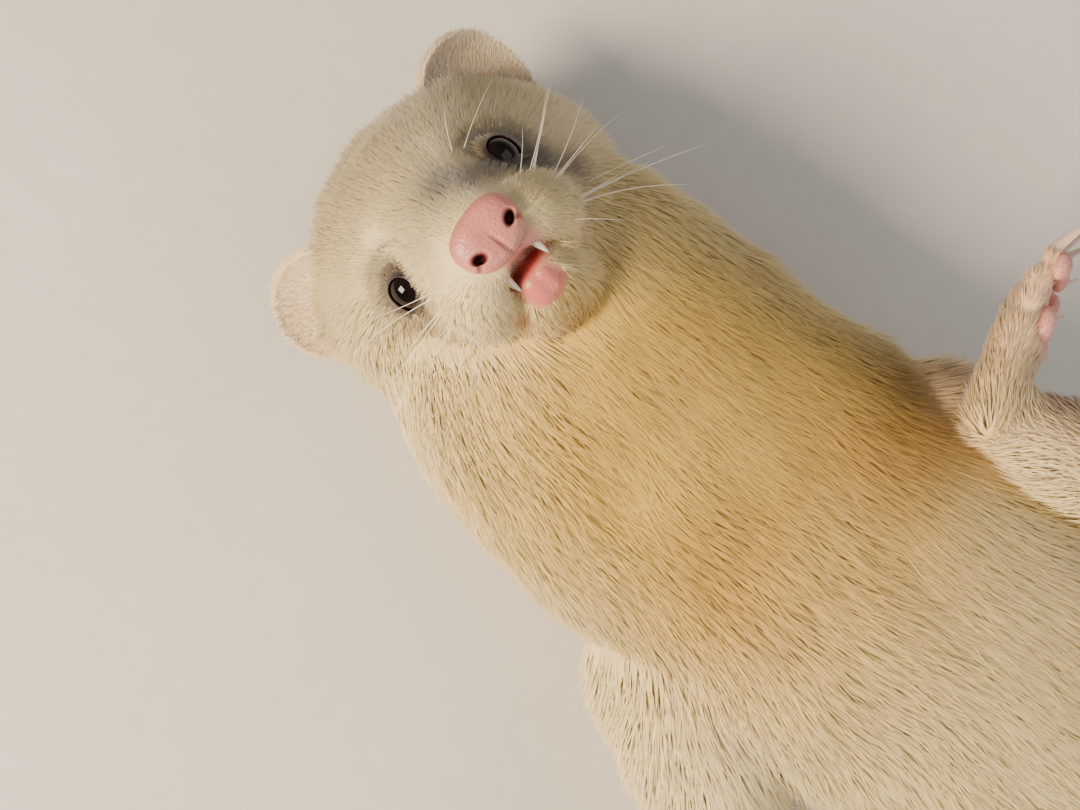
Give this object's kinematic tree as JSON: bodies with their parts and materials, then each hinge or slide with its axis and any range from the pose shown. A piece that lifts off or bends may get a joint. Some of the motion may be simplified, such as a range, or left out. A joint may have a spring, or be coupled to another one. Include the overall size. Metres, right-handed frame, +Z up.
{
  "type": "ferret",
  "caption": "Life-size model of a cream ferret lying on its back with its face turned up, paws relaxed and tail laid along the floor.",
  "frame": {"origin": "on the floor, on the flat of the back under the middle of the chest", "axes": "+X from the head towards the tail, +Y to the animal's left side, +Z up, out of the belly"},
  "size_m": [0.4709, 0.2211, 0.0688],
  "materials": {
    "fur": "cream fur with a golden throat and chest",
    "ear_skin": "peach-pink skin with short pale fur on the rim",
    "paw": "short pale fur over pink toes, horn-coloured claws",
    "nose_leather": "moist pink nose leather",
    "skin": "moist pink skin of lips, lids and pads",
    "eye": "wet, nearly black eye",
    "tooth": "cream tooth enamel",
    "claw": "translucent pale horn"
  },
  "bodies": {
    "root": {"head": "fur", "lower_jaw": "fur", "nose": "nose_leather", "eye_left": "eye", "ear_left": "ear_skin", "eye_right": "eye", "ear_right": "ear_skin", "neck": "fur", "chest": "fur", "belly": "fur", "hips": "fur", "tail_base": "fur", "tail_middle": "fur", "tail_tip": "fur", "upper_arm_left": "fur", "forearm_left": "fur", "forepaw_left": "paw", "upper_arm_right": "fur", "forearm_right": "fur", "forepaw_right": "paw", "thigh_left": "fur", "shank_left": "fur", "hindpaw_left": "paw", "thigh_right": "fur", "shank_right": "fur", "hindpaw_right": "paw"}
  },
  "joints": []
}
